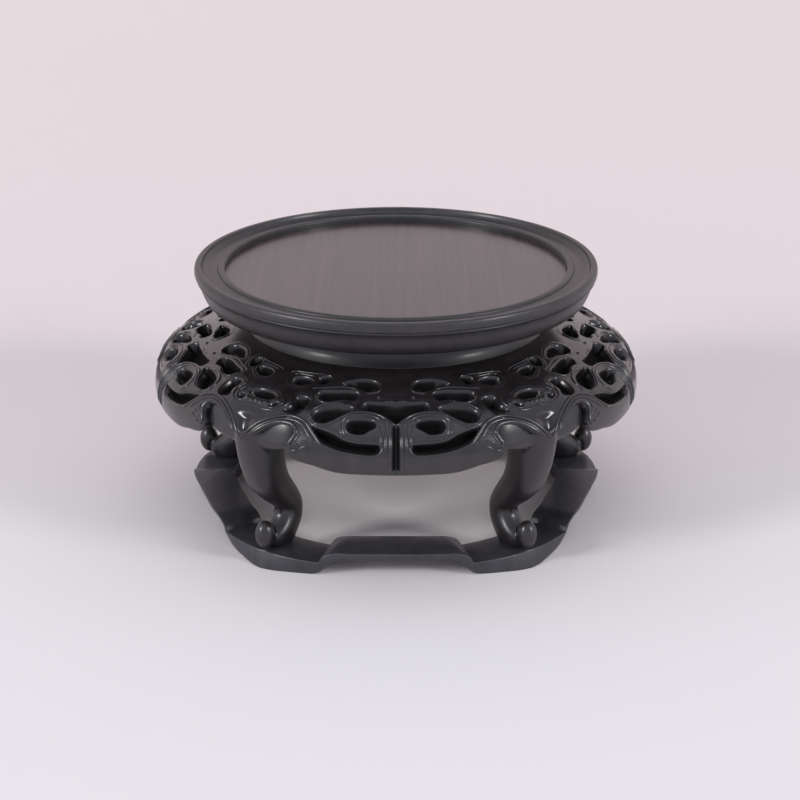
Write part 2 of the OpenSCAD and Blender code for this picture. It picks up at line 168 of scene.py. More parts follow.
def soft_box(name, azimuth, elevation, distance, size, power):
    """A square lamp that faces the stand."""
    lamp = bpy.data.lights.new(name, "AREA")
    lamp.shape = "SQUARE"
    lamp.size = size
    lamp.energy = power
    holder = bpy.data.objects.new(name, lamp)
    bpy.context.collection.objects.link(holder)
    around, up = math.radians(azimuth), math.radians(elevation)
    away = Vector((math.sin(around) * math.cos(up), -math.cos(around) * math.cos(up), math.sin(up)))
    holder.location = aim + away * distance
    holder.rotation_euler = away.to_track_quat("Z", "Y").to_euler()


soft_box("left_box", azimuth=-60, elevation=25, distance=2.6, size=0.58, power=28.0)
soft_box("right_box", azimuth=60, elevation=25, distance=2.6, size=0.58, power=22.4)
soft_box("overhead_panel", azimuth=8, elevation=78, distance=1.2, size=0.9, power=1.0)


# Top rim: one ring turned on a lathe from dense black hardwood, with an ogee edge, a fine groove,
# a lip, a shallow channel and a bead. It is rabbeted from below for the panel and glued to the waist.
# The sizes from here on are in millimetres.
MM = 0.001


def bend(p0, p1, p2, p3, steps=12):
    """Points along a cubic curve from p0 to p3, drawn towards p1 and p2."""
    p0, p1, p2, p3 = map(np.array, (p0, p1, p2, p3))
    t = np.linspace(0, 1, steps + 1)[:, None]
    return list((1 - t) ** 3 * p0 + 3 * (1 - t) ** 2 * t * p1 + 3 * (1 - t) * t**2 * p2 + t**3 * p3)


def lathe_tree():
    """A node tree that carries an outline round the stand's axis."""
    tree = bpy.data.node_groups.new("turned_on_a_lathe", "GeometryNodeTree")
    sockets = tree.interface
    sockets.new_socket("Outline", in_out="INPUT", socket_type="NodeSocketGeometry")
    sockets.new_socket("Path radius", in_out="INPUT", socket_type="NodeSocketFloat")
    sockets.new_socket("Steps round", in_out="INPUT", socket_type="NodeSocketInt")
    sockets.new_socket("Wood", in_out="INPUT", socket_type="NodeSocketMaterial")
    sockets.new_socket("Turning", in_out="OUTPUT", socket_type="NodeSocketGeometry")
    given = tree.nodes.new("NodeGroupInput")
    outline = tree.nodes.new("GeometryNodeMeshToCurve")
    path = tree.nodes.new("GeometryNodeCurvePrimitiveCircle")
    level = tree.nodes.new("GeometryNodeSetCurveNormal")
    level.mode = "Z_UP"
    swept = tree.nodes.new("GeometryNodeCurveToMesh")
    real = tree.nodes.new("GeometryNodeRealizeInstances")
    stained = tree.nodes.new("GeometryNodeSetMaterial")
    result = tree.nodes.new("NodeGroupOutput")
    for start, end in (
        (given.outputs["Outline"], outline.inputs["Mesh"]),
        (given.outputs["Path radius"], path.inputs["Radius"]),
        (given.outputs["Steps round"], path.inputs["Resolution"]),
        (path.outputs["Curve"], level.inputs["Curve"]),
        (level.outputs["Curve"], swept.inputs["Curve"]),
        (outline.outputs["Curve"], swept.inputs["Profile Curve"]),
        (swept.outputs["Mesh"], real.inputs["Geometry"]),
        (real.outputs["Geometry"], stained.inputs["Geometry"]),
        (given.outputs["Wood"], stained.inputs["Material"]),
        (stained.outputs["Geometry"], result.inputs["Turning"]),
    ):
        tree.links.new(start, end)
    return tree


lathe = lathe_tree()


def finish_mesh(mesh, sharp, weld=1e-7):
    """Points the faces outwards and shades them smooth between edges sharper than the angle."""
    work = bmesh.new()
    work.from_mesh(mesh)
    bmesh.ops.remove_doubles(work, verts=work.verts, dist=weld)
    bmesh.ops.recalc_face_normals(work, faces=work.faces)
    work.to_mesh(mesh)
    work.free()
    mesh.shade_smooth()
    mesh.set_sharp_from_angle(angle=math.radians(sharp))


def turned(name, outline, wood, path_radius=50.0, steps_round=240, sharp=35):
    """A turning from an outline of (radius, height) in millimetres."""
    points = [((r - path_radius) * MM, -z * MM, 0) for r, z in outline]
    mesh = bpy.data.meshes.new(name + "_outline")
    mesh.from_pydata(points, [(i, (i + 1) % len(points)) for i in range(len(points))], [])
    piece = bpy.data.objects.new(name, mesh)
    bpy.context.collection.objects.link(piece)
    modifier = piece.modifiers.new("lathe", "NODES")
    modifier.node_group = lathe
    named = {s.name: s.identifier for s in lathe.interface.items_tree if s.in_out == "INPUT"}
    modifier[named["Path radius"]] = path_radius * MM
    modifier[named["Steps round"]] = steps_round
    modifier[named["Wood"]] = wood
    solid = bpy.data.meshes.new_from_object(piece.evaluated_get(bpy.context.evaluated_depsgraph_get()))
    piece.modifiers.remove(modifier)
    piece.data = solid
    finish_mesh(solid, sharp)
    return piece


wood_dark = (0.010, 0.0082, 0.0092)
wood_light = (0.023, 0.0186, 0.0205)
# The next colour is painted shade: the near-black given to the ground of the carved recesses.
recess_painted_shade = (0.003, 0.0026, 0.0028)
carved_grain = (260, 260, 14)
pore_depth, mark_depth = 0.06, 0.1
line_inset, line_step, line_half_w = 0.6, 0.8, 0.22
line_fade, line_reach = 1.5, 2.0


def hardwood(name, dark, light, polish, grain=None):
    """Dense black hardwood, oiled and waxed: fine pores along the grain and a satin gloss.

    grain is the scale of the figure along X, Y and Z; a carved piece has none, because it carries its own
    figure in the attribute "figure", the height of its relief in "crest" and, in "rim_distance", how many
    millimetres away the nearest recess is: fine lines are cut into the wood along the recesses. Where crest
    falls towards 0, in the recesses and on the back of the apron's wall, the colour is painted shade: a
    near-black, dull and barely reflecting finish is mixed in for the shade that falls there.
    """
    material, shader, wire = new_material(name)
    if grain:
        place = wire.node("ShaderNodeTexCoord", out="Object")
    else:
        place = wire.node("ShaderNodeAttribute", {"attribute_name": "figure"}, out="Vector")
    stretch = grain or carved_grain
    along = wire.node("ShaderNodeVectorMath", {"operation": "MULTIPLY"}, {0: place, 1: stretch})
    streak = wire.node("ShaderNodeTexNoise", {},
                       {"Vector": along, "Scale": 1.0, "Detail": 4.0, "Roughness": 0.6})
    pores = wire.node("ShaderNodeTexNoise", {}, {"Vector": along, "Scale": 9.0, "Detail": 2.0})
    cloud = wire.node("ShaderNodeTexNoise", {}, {"Vector": place, "Scale": 40.0, "Detail": 2.0})
    figure = streak * 0.7 + cloud * 0.3
    tone = figure.ramp((0.35, dark), (0.68, light))
    gloss = polish + 0.10 * pores + 0.08 * cloud
    wire.tree.links.new(tone.socket, shader.inputs["Base Color"])
    wire.tree.links.new(gloss.socket, shader.inputs["Roughness"])
    height = pore_depth * pores
    if not grain:
        marks = wire.node("ShaderNodeTexNoise", {}, {"Vector": place, "Scale": 900.0, "Detail": 1.0})
        rim = wire.node("ShaderNodeAttribute", {"attribute_name": "rim_distance"}, out="Fac")
        to_line = wire.sum("PINGPONG", rim - line_inset, line_step / 2)
        stripe = wire.node("ShaderNodeMapRange", {"interpolation_type": "SMOOTHSTEP"},
                           {"Value": to_line, "From Max": line_half_w})
        near = wire.node("ShaderNodeMapRange", {},
                         {"Value": rim, "From Min": line_reach, "From Max": line_fade})
        outside = wire.sum("GREATER_THAN", rim, line_inset / 2)
        height = height + mark_depth * marks + stripe * near * outside
        # Painted shade: the deeper the relief, the more of a near-black, dull, barely reflecting shader is
        # mixed in.
        crest = wire.node("ShaderNodeAttribute", {"attribute_name": "crest"}, out="Fac")
        ground = wire.node("ShaderNodeBsdfPrincipled", {},
                           {"Base Color": recess_painted_shade, "Roughness": 0.9, "Specular IOR Level": 0.1})
        polished = Wire(wire.tree, shader.outputs["BSDF"])
        carved = wire.node("ShaderNodeMixShader", {}, {"Fac": crest, 1: ground, 2: polished})
        wire.tree.links.new(carved.socket, wire.tree.nodes["Material Output"].inputs["Surface"])
    bump = wire.node("ShaderNodeBump", {}, {"Height": height, "Strength": 0.8, "Distance": 0.00008})
    wire.tree.links.new(bump.socket, shader.inputs["Normal"])
    shader.inputs["IOR"].default_value = 1.55
    shader.inputs["Coat Weight"].default_value = 0.25
    shader.inputs["Coat Roughness"].default_value = 0.2
    return material


turned_wood = hardwood("turned_hardwood", wood_dark, wood_light, polish=0.40, grain=(420, 24, 420))

rim_low, rim_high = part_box("top_rim")
rim_r = rim_high.x / MM
rim_base = rim_low.z / MM
rim_top = rim_high.z / MM
lip_w, channel_w, bead_w = 2.2, 4.7, 2.2
groove_z = rim_top - 3.1
channel_z = rim_top - 1.4
bead_top = rim_top - 0.75
panel_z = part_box("top_panel")[1].z / MM
opening_r = rim_r - lip_w - channel_w - bead_w
rabbet_r = opening_r + 2.1
tongue_z = panel_z - 1.2
bead_mid = opening_r + bead_w / 2
channel_mid = (rim_r - lip_w - channel_w / 2, channel_z - 0.2)
bead_curve = [(bead_mid + bead_w / 2 * math.cos(math.radians(a)),
               channel_z + (bead_top - channel_z) * math.sin(math.radians(a))) for a in range(0, 181, 15)]
rim_outline = [
    *bend((rim_r - 4.5, rim_base), (rim_r - 2.0, rim_base + 1.0), (rim_r - 2.1, groove_z - 2.6),
          (rim_r - 0.7, groove_z - 0.55)),
    *bend((rim_r - 0.55, groove_z - 0.4), (rim_r - 0.9, groove_z - 0.3), (rim_r - 0.9, groove_z + 0.3),
          (rim_r - 0.45, groove_z + 0.4), steps=6),
    *bend((rim_r - 0.2, groove_z + 0.55), (rim_r + 0.05, groove_z + 1.1), (rim_r + 0.05, rim_top - 0.1),
          (rim_r - 0.8, rim_top), steps=10),
    (rim_r - lip_w + 0.35, rim_top),
    *bend((rim_r - lip_w + 0.1, rim_top - 0.1), (rim_r - lip_w - 0.2, channel_z - 0.3),
          (rim_r - lip_w - 1.2, channel_z - 0.25), channel_mid, steps=8),
    *bend(channel_mid, (bead_mid + bead_w, channel_z - 0.2),
          (bead_mid + bead_w * 0.75, channel_z - 0.1), (bead_mid + bead_w / 2, channel_z), steps=6)[1:],
    *bead_curve[1:],
    (opening_r, tongue_z), (rabbet_r, tongue_z), (rabbet_r, rim_base),
]
rim = turned("turned_rim", rim_outline, turned_wood)
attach(rim, "root")
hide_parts("top_rim")

# Top panel: a flat board of straight-grained hardwood, let into the rim from below.
# The grain runs from front to back and the face is planed and waxed.
panel_dark = (0.020, 0.013, 0.013)
panel_light = (0.060, 0.042, 0.042)
panel_wood = hardwood("panel_hardwood", panel_dark, panel_light, polish=0.22, grain=(520, 13, 520))
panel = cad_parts["top_panel"]
panel.data.materials.clear()
panel.data.materials.append(panel_wood)

# Waist: a hollow-necked collar turned from one block. Its head fills the rim's rabbet, and a ring
# under it centres it in the apron's seat.
seat_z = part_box("apron_panel_1")[1].z / MM
waist_low, waist_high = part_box("waist_ring")
waist_head_r, neck_r, seat_r, bore_r, seat_in = 47.5, 44.5, 45.5, 34.0, 38.0
waist_foot_r = seat_r - 0.15
waist_outline = [
    (bore_r, waist_high.z / MM), (waist_high.x / MM, waist_high.z / MM), (waist_high.x / MM, rim_base),
    *bend((waist_head_r, rim_base), (neck_r - 1.4, rim_base - 1.2), (neck_r - 1.4, seat_z + 2.8),
          (waist_foot_r, seat_z + 0.2), steps=20),
    (waist_foot_r, seat_z), (seat_in, seat_z), (seat_in, waist_low.z / MM), (bore_r, waist_low.z / MM),
]
waist = turned("turned_waist", waist_outline, turned_wood)
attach(waist, "root")
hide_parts("waist_ring")

# Apron: five panels of a bulging wall, mitred on the axes of the legs. Each is carved by hand, deep into
# the wall, with a pair of stems that rise into scrolls, leafy curls beside them and triple beads over the
# legs. Places on it are in degrees from the middle of a panel and millimetres down its face.
sides = 5
half_turn = 180 / sides
apron_base = 37.0
wall = 4.0
swell_r = 12.0
swell = np.array((61.0, 40.0))
to_swell = swell - (seat_r, seat_z)
slope_run = math.sqrt(to_swell @ to_swell - swell_r**2)
slope_normal = math.pi / 2 + math.atan2(to_swell[1], to_swell[0])
slope_normal += math.asin(swell_r / np.linalg.norm(to_swell))
face_l = slope_run + swell_r * (slope_normal - math.asin((apron_base - swell[1]) / swell_r))


def face(s):
    """Radius, height and normal angle of the apron's face, s millimetres down from the seat's edge."""
    s = np.asarray(s, float)
    seat = np.clip(s, None, 0)
    slope = np.clip(s, 0, slope_run)
    normal = slope_normal - np.clip(s - slope_run, 0, None) / swell_r
    on_swell = s > slope_run
    slope_r = seat_r + seat + slope * math.sin(slope_normal)
    slope_z = seat_z - slope * math.cos(slope_normal)
    r = np.where(on_swell, swell[0] + swell_r * np.cos(normal), slope_r)
    z = np.where(on_swell, swell[1] + swell_r * np.sin(normal), slope_z)
    return r, z, np.where(s < 0, math.pi / 2, normal)


def smooth(points, closed, steps=6):
    """A smooth line through points, each stretch a cubic in line with its neighbours."""
    p = np.array(points, float)
    n = len(p)
    if closed:
        a, b, c, d = (np.roll(p, -k, 0) for k in (-1, 0, 1, 2))
    else:
        p = np.vstack((2 * p[0] - p[1], p, 2 * p[-1] - p[-2]))
        a, b, c, d = (p[k : k + n - 1] for k in range(4))
    curl = (d - a) / 2 + 1.5 * (b - c)
    along = [b + t * ((c - a) / 2 + t * (a - 2.5 * b + 2 * c - d / 2 + t * curl))
             for t in np.arange(steps) / steps]
    line = np.stack(along, 1).reshape(-1, 2)
    return line if closed else np.vstack((line, points[-1]))


def distance(a, s, line, closed):
    """Distance on the face, in millimetres, from places (a degrees, s millimetres) to a line."""
    across = face(s)[0] * math.pi / 180
    near = np.full(a.shape, 1e9)
    ends = np.roll(line, -1, 0) if closed else line[1:]
    for p, q in zip(line, ends):
        x, y = (a - p[0]) * across, s - p[1]
        u, v = (q[0] - p[0]) * across, q[1] - p[1]
        t = np.clip((x * u + y * v) / (u * u + v * v + 1e-12), 0, 1)
        near = np.minimum(near, (x - t * u) ** 2 + (y - t * v) ** 2)
    return np.sqrt(near)


def inside(a, s, line):
    """Which places lie inside a closed line."""
    odd = np.zeros(a.shape, bool)
    for p, q in zip(line, np.roll(line, -1, 0)):
        crosses = (p[1] > s) != (q[1] > s)
        odd ^= crosses & (a < (q[0] - p[0]) * (s - p[1]) / (q[1] - p[1] + 1e-12) + p[0])
    return odd


def rise(low, high, value):
    """A soft step from 0 at low to 1 at high."""
    t = np.clip((value - low) / (high - low), 0, 1)
    return t * t * (3 - 2 * t)


# Recesses of half a panel
eyes = [
    [(5, 8.9), (5.1, 7), (6.4, 5.6), (9, 5), (12.5, 5.4), (16.3, 7.6), (12.5, 8.5), (10.3, 9.4), (8, 10.1),
     (6, 9.9)],
    [(20.3, 7), (20.8, 5.2), (22.5, 5), (24.3, 6.4), (24, 8.4), (22, 9)],
    [(25.4, 8.6), (26.5, 7.4), (29.5, 7.2), (32, 8.4), (31.5, 10.4), (29, 10.9), (26.8, 10)],
    [(10.2, 12.8), (10.6, 10.9), (13.5, 10.5), (17.5, 11.1), (20.6, 11.7), (21.8, 13), (20.8, 15),
     (18.8, 15.8), (16.6, 15.3), (14.2, 14.2), (11.6, 14.4)],
    [(10.6, 17.9), (12, 17), (15, 17.3), (17.6, 18.2), (19.4, 20), (19.8, 22), (18.8, 23.8), (16.6, 24),
     (14.6, 22.6), (12.4, 20)],
    [(22.6, 16.4), (24, 15.2), (26.2, 15.6), (26.6, 17.5), (26.5, 19.6), (27.4, 21.8), (26, 22.7),
     (23.8, 22.4), (22.8, 20)],
    [(29.8, 20.6), (30.4, 19.4), (31.4, 19.8), (31.8, 21.2), (30.8, 22)],
    [(4.6, 24.2), (5.2, 22.3), (7.5, 21.5), (9.8, 21.6), (11.1, 22.9), (11.2, 24.8), (10, 26.4),
     (7.5, 26.6), (6.2, 25.6)],
]
crescent = [(3.4, 31), (3.7, 29.5), (8, 29.3), (11.2, 28.7), (13.8, 27.2), (16.5, 26.3), (19.4, 25.8),
            (18.4, 28), (16.4, 29.7), (13.5, 31.2), (10, 32), (5, 32.3)]
bat_eye = [(2, 15), (5, 15), (7.6, 15), (8.5, 16.4), (8.2, 18.2), (5.6, 18.6), (3.2, 19.7), (1.6, 21.2),
           (0.4, 22.8)]
leg_eye = [(34.8, 15.9), (33.2, 16.5), (32, 17.8), (33.2, 19.2), (34.8, 19.4)]


def mirrored(points, axis):
    """A closed line from one half of it and its mirror image past an axis."""
    return points + [(2 * axis - a, s) for a, s in reversed(points)]


eyes += [mirrored(bat_eye, 0), mirrored(leg_eye, half_turn), crescent]
lower_edge = [(-6, face_l), (6, face_l), (12, face_l), (15, 37.7), (18, 36.7), (21, 36.1), (23.3, 35.2),
              (24.5, 33.4), (24.4, 31.7), (23.6, 30.1), (23.05, 28.4), (23.4, 27.1), (24.4, 26.4),
              (26, 26.2), (27.8, 26.6), (29.3, 27.5), (30.8, 28.9), (32.2, 30.4), (34, 31.5), (36, 32.7)]
below = [(42, 28), (42, 50), (-6, 50)]

# Raised lines of half a panel: points and radius of the bead
beads = [
    ([(1.25, 37.4), (1.25, 33), (1.25, 28), (1.3, 25), (1.7, 22.6), (2.9, 20.9), (4.8, 19.7), (7, 19.2),
      (9.4, 19.3), (11.2, 20.1), (12.6, 21.6), (13.8, 23), (15.2, 24.3), (17.4, 24.8), (19.4, 24.6)], 0.42),
    ([(2.25, 32), (2.25, 29), (2.3, 26), (2.7, 23.6), (3.7, 21.8), (5.2, 20.7), (7.3, 20.2), (9.6, 20.3),
      (11.5, 21.3), (12.5, 23), (12.7, 24.9), (12, 26.7), (10.3, 27.8), (8, 28.1), (5.6, 28)], 0.38),
    ([(3.3, 31), (3.3, 28.6), (3.35, 26.4), (3.6, 24.8), (4, 23.4)], 0.36),
    ([(15, 31.3), (16.6, 30), (18.5, 27.5), (20.5, 25), (22.5, 23.85), (24.6, 23.45), (27, 23.9),
      (29.5, 25.2), (31.8, 27), (33.6, 29.2), (35, 31.4), (36, 32.9)], 0.5),
    ([(17.4, 30.6), (19.2, 28.4), (21, 26), (22.4, 25), (24.3, 24.6), (26.6, 24.8), (29, 26), (31.3, 27.8),
      (33.1, 29.9), (34.6, 31.9)], 0.45),
    ([(21, 32.1), (22, 32.9), (23.1, 32.9), (23.7, 32), (23.55, 31.1), (23, 29.9), (22.5, 28.5),
      (22.75, 27), (23.8, 25.9), (25.6, 25.6), (27.6, 26), (29.3, 26.9), (31, 28.4), (32.6, 30),
      (34.4, 31.3)], 0.6),
    ([(21.2, 26.8), (21.4, 28.4), (22, 29.8), (22.7, 31.2)], 0.34),
    ([(18.1, 31.5), (19.6, 31.3), (20.8, 32.2), (21.6, 33.6)], 0.34),
    ([(18.7, 30.2), (20.1, 30), (21.2, 30.6), (22, 31.8)], 0.32),
    ([(28.2, 15.4), (27.5, 18), (28.1, 20.8), (29.7, 22.5), (32, 23.1), (34, 23), (36, 22.8)], 0.4),
    ([(29.5, 16.6), (28.9, 18.6), (29.3, 20.6), (30.5, 21.95), (32.4, 22.1)], 0.34),
    ([(22.6, 4.4), (26, 4.9), (30, 5.2), (33, 5.6), (35, 6.6)], 0.34),
    ([(25, 6.1), (28, 6.1), (31, 6.2), (33.2, 7)], 0.3),
    ([(10.6, 9.9), (13, 9.2), (16, 9.1), (19, 9.8), (22, 10.6), (24.6, 11.4)], 0.32),
    ([(13, 16.2), (16.2, 16.4), (18.8, 17.6), (20.3, 19.6), (20.6, 21.8), (19.8, 23.6)], 0.4),
    ([(14.6, 14.9), (16.4, 16), (18.6, 16.4), (20.8, 15.6), (22, 13.8), (22.4, 12.2)], 0.32),
    ([(6, 4.8), (4.6, 6.3), (4.3, 8.3), (5, 10), (6.6, 10.8), (8.6, 11)], 0.36),
    ([(0, 14.6), (1, 14.2), (2.2, 14.3), (3.2, 13.6)], 0.32),
]
pearls = [(33.2, 20.9), (34.6, 21.2), (36, 20.9), (4.7, 12.6)]

step_a, step_s = 0.185, 0.215
seat_rows = 5
angles = np.linspace(0, half_turn, round(half_turn / step_a) + 1)
on_seat = np.linspace(seat_in - seat_r, 0, seat_rows + 1)[:-1]
rows = np.concatenate((on_seat, np.arange(0, face_l + 2 * step_s, step_s)))
place_s, place_a = np.meshgrid(rows, angles, indexing="ij")

# The edges of the recesses are rounded over, and so is the panel's lower edge
recess_depth, recess_slope, rounding = 3.0, 1.4, 0.35
edge_break_w, edge_break_depth = 0.6, 0.4
far_off = 9.0
relief = np.zeros(place_a.shape)
to_recess = np.full(place_a.shape, far_off)
for outline in eyes:
    loop = smooth(outline, True)
    away = distance(place_a, place_s, loop, True)
    into = np.where(inside(place_a, place_s, loop), away, -away)
    relief = np.minimum(relief, -recess_depth * rise(-rounding, recess_slope, into))
    if outline is not crescent:
        to_recess = np.minimum(to_recess, -into)
edge_line = smooth(lower_edge, False)
away = distance(place_a, place_s, edge_line, False)
past_edge = inside(place_a, place_s, np.vstack((edge_line, below)))
room_left = np.where(past_edge, -away, away)
relief -= edge_break_depth * np.clip(1 - room_left / edge_break_w, 0, 1) ** 2

# A narrow groove parts the two stems, and a scoop runs down over each leg between the beads
groove_half_w, groove_depth = 1.05, 1.7
groove_starts, groove_ends = (22.6, 24.6), (35.6, 38.4)
scoop_depth = 0.9
scoop_starts, scoop_ends = (24.6, 27.2), (30, 32.5)
pearl_r, pearl_h = 0.8, 0.5
across = face(place_s)[0] * math.pi / 180
groove = np.clip(1 - (place_a * across / groove_half_w) ** 2, 0, 1)
relief -= groove_depth * rise(*groove_starts, place_s) * (1 - rise(*groove_ends, place_s)) * groove
scoop_half_w = np.interp(place_s, (24.5, 26.5, 29, 31.4, 33), (5, 5, 3, 1.2, 0.5))
scoop = np.clip(1 - ((half_turn - place_a) * across / scoop_half_w) ** 2, 0, 1) ** 2
relief -= scoop_depth * rise(*scoop_starts, place_s) * (1 - rise(*scoop_ends, place_s)) * scoop
for spot in pearls:
    near = np.hypot((place_a - spot[0]) * across, place_s - spot[1]) / pearl_r
    relief += pearl_h * (1 - rise(0, 1, near))


def both_halves(half_grid, sign=1):
    """Values of a whole panel, from those of the half on one side of its middle."""
    return np.hstack((sign * half_grid[:, :0:-1], half_grid))


full_a = both_halves(place_a, -1)
full_s, full_room, full_relief, full_to_recess = map(both_halves, (place_s, room_left, relief, to_recess))


def clipped(values):
    """Marching squares: places (row, column) and faces of the part of a grid where values are positive."""
    # Cuts keep clear of the grid's points, by these shares of a step
    nearest, furthest = 0.06, 0.94
    kept = values > 0
    count = int(kept.sum())
    number = np.full(values.shape, -1)
    number[kept] = np.arange(count)
    places = [tuple(p) for p in np.argwhere(kept).astype(float)]
    cuts = {}

    def cut(p, q):
        """Number of the place where the line between two points of the grid leaves the part."""
        key = (min(p, q), max(p, q))
        if key not in cuts:
            low, high = key
            t = float(np.clip(values[low] / (values[low] - values[high]), nearest, furthest))
            cuts[key] = len(places)
            places.append((low[0] + t * (high[0] - low[0]), low[1] + t * (high[1] - low[1])))
        return cuts[key]

    whole = kept[:-1, :-1] & kept[:-1, 1:] & kept[1:, 1:] & kept[1:, :-1]
    any_kept = kept[:-1, :-1] | kept[:-1, 1:] | kept[1:, 1:] | kept[1:, :-1]
    i, j = np.nonzero(whole)
    faces = np.stack((number[i, j], number[i + 1, j], number[i + 1, j + 1], number[i, j + 1]), 1).tolist()
    for i, j in np.argwhere(any_kept & ~whole).tolist():
        corners = [(i, j), (i + 1, j), (i + 1, j + 1), (i, j + 1)]
        loop = []
        for p, q in zip(corners, corners[1:] + corners[:1]):
            if kept[p]:
                loop.append(int(number[p]))
            if kept[p] != kept[q]:
                loop.append(cut(p, q))
        faces.append(loop)
    return np.array(places), faces


def sampled(grid, places):
    """Values of a grid at places between its points."""
    i = np.minimum(places[:, 0].astype(int), grid.shape[0] - 2)
    j = np.minimum(places[:, 1].astype(int), grid.shape[1] - 2)
    u, v = places[:, 0] - i, places[:, 1] - j
    upper = grid[i, j] * (1 - v) + grid[i, j + 1] * v
    lower = grid[i + 1, j] * (1 - v) + grid[i + 1, j + 1] * v
    return upper * (1 - u) + lower * u


places, front_faces = clipped(full_room)
at_a, at_s, at_h, at_rim = (sampled(grid, places) for grid in (full_a, full_s, full_relief, full_to_recess))


def on_wall(a, s, offset):
    """Points in millimetres, offset outwards from the apron's face at places (a, s)."""
    r, z, n = face(s)
    turn = np.radians(a - 90)
    r = r + offset * np.cos(n)
    return np.stack((r * np.cos(turn), r * np.sin(turn), z + offset * np.sin(n)), 1)


# The back of the wall is smooth, so it has few points inside its border
corner_run = wall * math.tan((math.pi / 2 - slope_normal) / 2)


def behind(a, s):
    """Points on the back of the wall, which turns from seat to slope further in than the front does."""
    under_seat = seat_in - seat_r + (s + seat_r - seat_in) * (1 - corner_run / (seat_r - seat_in))
    under_slope = s + corner_run * np.clip(1 - s / slope_run, 0, 1)
    return on_wall(a, np.where(s < 0, under_seat, under_slope), -wall)


drawn = {(p, q) for loop in front_faces for p, q in zip(loop, loop[1:] + loop[:1])}
after = {p: q for p, q in drawn if (q, p) not in drawn}
border = [next(iter(after))]
while after[border[-1]] != border[0]:
    border.append(after[border[-1]])
back_step = 1.3
spread_s, spread_a = np.meshgrid(np.arange(rows[0] + back_step, face_l, back_step),
                                 np.arange(-half_turn + back_step, half_turn, back_step), indexing="ij")
spread = np.stack((spread_a.ravel(), spread_s.ravel()), 1)
edge_loop = np.stack((at_a[border], at_s[border]), 1)
well_in = inside(spread[:, 0], spread[:, 1], edge_loop)
well_in &= distance(spread[:, 0], spread[:, 1], edge_loop[::3], True) > back_step / 2
laid_flat = [Vector(p) for p in np.vstack((edge_loop, spread[well_in])).tolist()]
ring = [(i, (i + 1) % len(border)) for i in range(len(border))]
inside_only, weld_within = 1, 1e-7
joined, _, back_faces, sources, _, _ = delaunay_2d_cdt(laid_flat, ring, [], inside_only, weld_within)
back_at = np.array([tuple(p) for p in joined])
front_count = len(places)
behind_border = {border[old]: front_count + new
                 for new, olds in enumerate(sources) for old in olds if old < len(border)}
panel_points = np.vstack((on_wall(at_a, at_s, at_h), behind(back_at[:, 0], back_at[:, 1])))
panel_faces = front_faces + [[front_count + p for p in loop] for loop in back_faces]
panel_faces += [[after[p], p, behind_border[p], behind_border[after[p]]] for p in border]
# crest also sets the painted shade: none on the face, full in the deepest recesses and on the whole back of
# the wall.
panel_crest = np.concatenate((np.clip(1 + at_h / recess_depth, 0, 1), np.zeros(len(back_at))))
panel_rim = np.concatenate((at_rim, np.full(len(back_at), far_off)))


def bead_tree():
    """A node tree that lays a round bead along lines, as thick as their attribute "bead_radius" says."""
    tree = bpy.data.node_groups.new("carved_beads", "GeometryNodeTree")
    sockets = tree.interface
    sockets.new_socket("Lines", in_out="INPUT", socket_type="NodeSocketGeometry")
    sockets.new_socket("Sides", in_out="INPUT", socket_type="NodeSocketInt")
    sockets.new_socket("Wood", in_out="INPUT", socket_type="NodeSocketMaterial")
    sockets.new_socket("Beads", in_out="OUTPUT", socket_type="NodeSocketGeometry")
    given = tree.nodes.new("NodeGroupInput")
    lines = tree.nodes.new("GeometryNodeMeshToCurve")
    thickness = tree.nodes.new("GeometryNodeInputNamedAttribute")
    thickness.inputs["Name"].default_value = "bead_radius"
    circle = tree.nodes.new("GeometryNodeCurvePrimitiveCircle")
    circle.inputs["Radius"].default_value = 1
    swept = tree.nodes.new("GeometryNodeCurveToMesh")
    swept.inputs["Fill Caps"].default_value = True
    real = tree.nodes.new("GeometryNodeRealizeInstances")
    stained = tree.nodes.new("GeometryNodeSetMaterial")
    result = tree.nodes.new("NodeGroupOutput")
    for start, end in (
        (given.outputs["Lines"], lines.inputs["Mesh"]),
        (given.outputs["Sides"], circle.inputs["Resolution"]),
        (lines.outputs["Curve"], swept.inputs["Curve"]),
        (circle.outputs["Curve"], swept.inputs["Profile Curve"]),
        (thickness.outputs["Attribute"], swept.inputs["Scale"]),
        (swept.outputs["Mesh"], real.inputs["Geometry"]),
        (real.outputs["Geometry"], stained.inputs["Geometry"]),
        (given.outputs["Wood"], stained.inputs["Material"]),
        (stained.outputs["Geometry"], result.inputs["Beads"]),
    ):
        tree.links.new(start, end)
    return tree


